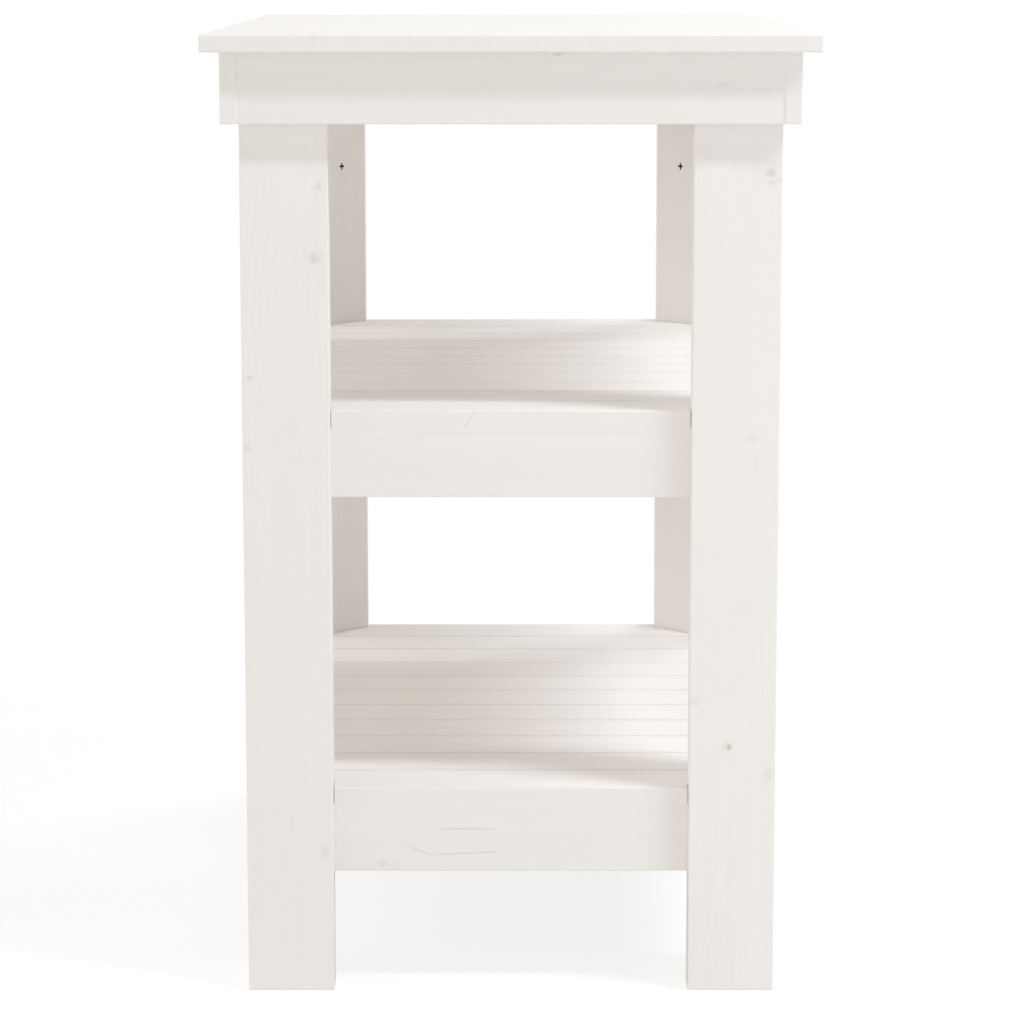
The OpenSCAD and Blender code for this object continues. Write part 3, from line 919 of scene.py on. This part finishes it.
class WORKBENCH_OT_hidden_fasteners(PieceOperator, Operator):
    """Finishes the cleat screws and the dowels"""

    bl_idname = "workbench.hidden_fasteners"
    bl_label = "Finish the hidden fasteners"

    def execute(self, context):
        props = context.scene.workbench_screws
        dress(["cleat_screws"], screw_metal("Zinc plate on cleat screws", props.zinc_color, 0.85, 0.34))
        dress(["rail_dowels", "apron_dowels", "slat_dowels"], raw_beech())
        return {"FINISHED"}


WHITE = (1.0, 1.0, 1.0, 1.0)
# Colour of the floor in the light that it throws back
FLOOR_GREY = (0.86, 0.86, 0.86, 1.0)
FLOOR_DROP = 0.2 * MM
# Shares of the floor's side between which what is seen of it goes over to plain white
FLOOR_FADE = (0.08, 0.22)
SOLE_LIGHT = 0.7
# Direction of the middle of the front light, and the nearness to it at which that starts and is full
FRONT_WAY = (0.98, 0.0, 0.20)
FRONT_SPREAD = (0.80, 0.97)


def seen_plainly(graph):
    """1 for camera, glossy and transmission rays, and 0 for the light that the object gathers."""
    rays = graph.add("ShaderNodeLightPath").outputs
    first = graph.math("MAXIMUM", rays["Is Camera Ray"], rays["Is Glossy Ray"])
    return graph.math("MAXIMUM", first, rays["Is Transmission Ray"])


def mix_shaders(graph, factor, first, second):
    """The first shader where the factor is 0 and the second where it is 1."""
    return graph.add("ShaderNodeMixShader", {0: factor, 1: first.outputs[0], 2: second.outputs[0]})


class WORKBENCH_OT_stage(PieceOperator, Operator):
    """Sets up the floor, the light and the camera"""

    bl_idname = "workbench.stage"
    bl_label = "Set up the studio"

    def execute(self, context):
        scene = context.scene
        props = scene.workbench_studio
        scene.view_settings.view_transform = "Standard"
        self.make_floor(scene, props)
        self.make_world(scene, props)
        self.make_lamps(scene, props)
        self.make_camera(scene, props)
        return {"FINISHED"}

    def floor_material(self, props):
        """Where open light falls on the floor, it is seen as plain white, and a shadow takes away a
        share of that. Further out the white no longer depends on the light. The floor is clear from
        below, so that the bench's underside can be looked at, and it gives some light to the soles of
        the feet, which would be black otherwise."""
        material = bpy.data.materials.new("Studio floor")
        material.use_nodes = True
        material.node_tree.nodes.clear()
        graph = Tree(material.node_tree)
        shade = props.floor_shade
        plain = graph.add("ShaderNodeBsdfDiffuse", {"Color": FLOOR_GREY})
        faint = graph.add("ShaderNodeBsdfDiffuse", {"Color": (shade, shade, shade, 1.0)})
        lift = graph.add("ShaderNodeEmission", {"Color": WHITE, "Strength": 1.0 - shade * props.open_light})
        near = graph.add("ShaderNodeAddShader", {0: faint.outputs[0], 1: lift.outputs[0]})
        white = graph.add("ShaderNodeEmission", {"Color": WHITE, "Strength": 1.0})
        away = graph.vector("LENGTH", graph.add("ShaderNodeTexCoord").outputs["Object"])
        far = graph.step(away, *(props.floor_size * share for share in FLOOR_FADE))
        seen = mix_shaders(graph, far, near, white)
        above = mix_shaders(graph, seen_plainly(graph), plain, seen)
        # Only a foot's sole is so near that a ray from it to the floor is this short
        rays = graph.add("ShaderNodeLightPath").outputs
        short = graph.math("LESS_THAN", rays["Ray Length"], 5.0 * FLOOR_DROP)
        glow = graph.add("ShaderNodeEmission", {"Color": WHITE, "Strength": SOLE_LIGHT})
        above = mix_shaders(graph, graph.math("MULTIPLY", rays["Is Diffuse Ray"], short), above, glow)
        clear = graph.add("ShaderNodeBsdfTransparent")
        underneath = graph.add("ShaderNodeNewGeometry").outputs["Backfacing"]
        both = mix_shaders(graph, underneath, above, clear)
        graph.add("ShaderNodeOutputMaterial", {"Surface": both.outputs[0]})
        return material

    def make_floor(self, scene, props):
        """A pale square floor just under the feet."""
        half = props.floor_size / 2
        corners = ((-half, -half), (half, -half), (half, half), (-half, half))
        mesh = bpy.data.meshes.new("studio_floor")
        mesh.from_pydata([(x, y, -FLOOR_DROP) for x, y in corners], [], [(0, 1, 2, 3)])
        mesh.materials.append(self.floor_material(props))
        floor = bpy.data.objects.new("studio_floor", mesh)
        scene.collection.objects.link(floor)

    def make_world(self, scene, props):
        """White where it is seen. Everywhere else a pale light from all round, with more from the long
        sides and from the camera's side."""
        world = bpy.data.worlds.new("Studio")
        scene.world = world
        world.use_nodes = True
        world.node_tree.nodes.clear()
        graph = Tree(world.node_tree)
        toward = graph.add("ShaderNodeTexCoord").outputs["Generated"]
        aside = graph.split(toward)["Y"]
        front = graph.step(aside, 0.0, -1.0, 0.0, props.side_levels[0])
        rear = graph.step(aside, 0.0, 1.0, 0.0, props.side_levels[1])
        sides = graph.even(graph.math("ADD", front, rear))
        color = graph.vector("MULTIPLY", tuple(props.side_color), sides)
        color = graph.vector("ADD", color, tuple(props.ambient))
        ahead = graph.vector("DOT_PRODUCT", toward, FRONT_WAY)
        ahead = graph.step(ahead, *FRONT_SPREAD, 0.0, props.front_light)
        color = graph.vector("ADD", color, graph.even(ahead))
        light = graph.add("ShaderNodeBackground", {"Color": color, "Strength": 1.0})
        white = graph.add("ShaderNodeBackground", {"Color": WHITE, "Strength": 1.0})
        both = mix_shaders(graph, seen_plainly(graph), light, white)
        graph.add("ShaderNodeOutputWorld", {"Surface": both.outputs[0]})

    def make_lamps(self, scene, props):
        """Two long lamps that hang level over the rear side, one to each end, and shine down."""
        for name, place, width, power in (
                ("key_lamp", props.key_place, props.key_width, props.key_power),
                ("rear_lamp", props.rear_place, props.rear_width, props.rear_power)):
            lamp = bpy.data.lights.new(name, "AREA")
            lamp.shape = "RECTANGLE"
            lamp.size = width
            lamp.size_y = props.lamp_length
            lamp.energy = power
            lamp.color = props.lamp_color
            hung = bpy.data.objects.new(name, lamp)
            hung.location = place
            scene.collection.objects.link(hung)

    def make_camera(self, scene, props):
        """Looks along the bench from its right end."""
        data = bpy.data.cameras.new("photo_camera")
        data.sensor_width = 36.0
        data.lens = props.focal_length
        camera = bpy.data.objects.new("photo_camera", data)
        camera.location = props.eye
        camera.rotation_euler = (math.pi / 2 - props.pitch, 0.0, math.pi / 2)
        scene.collection.objects.link(camera)
        scene.camera = camera


PIECES = (WORKBENCH_OT_top, WORKBENCH_OT_aprons, WORKBENCH_OT_cleats, WORKBENCH_OT_legs, WORKBENCH_OT_rails,
          WORKBENCH_OT_slats, WORKBENCH_OT_leg_screws, WORKBENCH_OT_slat_screws,
          WORKBENCH_OT_hidden_fasteners, WORKBENCH_OT_stage)
SETTINGS = {"workbench_paint": WorkbenchPaintSettings, "workbench_screws": WorkbenchScrewSettings,
            "workbench_studio": WorkbenchStudioSettings}


class WORKBENCH_PT_panel(Panel):
    """Lists the settings and the pieces"""

    bl_idname = "WORKBENCH_PT_panel"
    bl_label = "Workbench"
    bl_space_type = "VIEW_3D"
    bl_region_type = "UI"
    bl_category = "Workbench"

    def draw(self, context):
        for name, kind in SETTINGS.items():
            shown = self.layout.box()
            shown.label(text=kind.__doc__)
            for field in kind.__annotations__:
                shown.prop(getattr(context.scene, name), field)
        for piece in PIECES:
            self.layout.operator(piece.bl_idname)


CLASSES = (*SETTINGS.values(), *PIECES, WORKBENCH_PT_panel)


def register():
    """Registers the classes and hangs the settings on the scene."""
    for kind in CLASSES:
        bpy.utils.register_class(kind)
    for name, kind in SETTINGS.items():
        setattr(bpy.types.Scene, name, PointerProperty(type=kind))


def unregister():
    """Takes away what register added."""
    for name in SETTINGS:
        delattr(bpy.types.Scene, name)
    for kind in reversed(CLASSES):
        bpy.utils.unregister_class(kind)


def main():
    register()
    for piece in PIECES:
        area, name = piece.bl_idname.split(".")
        getattr(getattr(bpy.ops, area), name)()


if __name__ == "__main__":
    main()
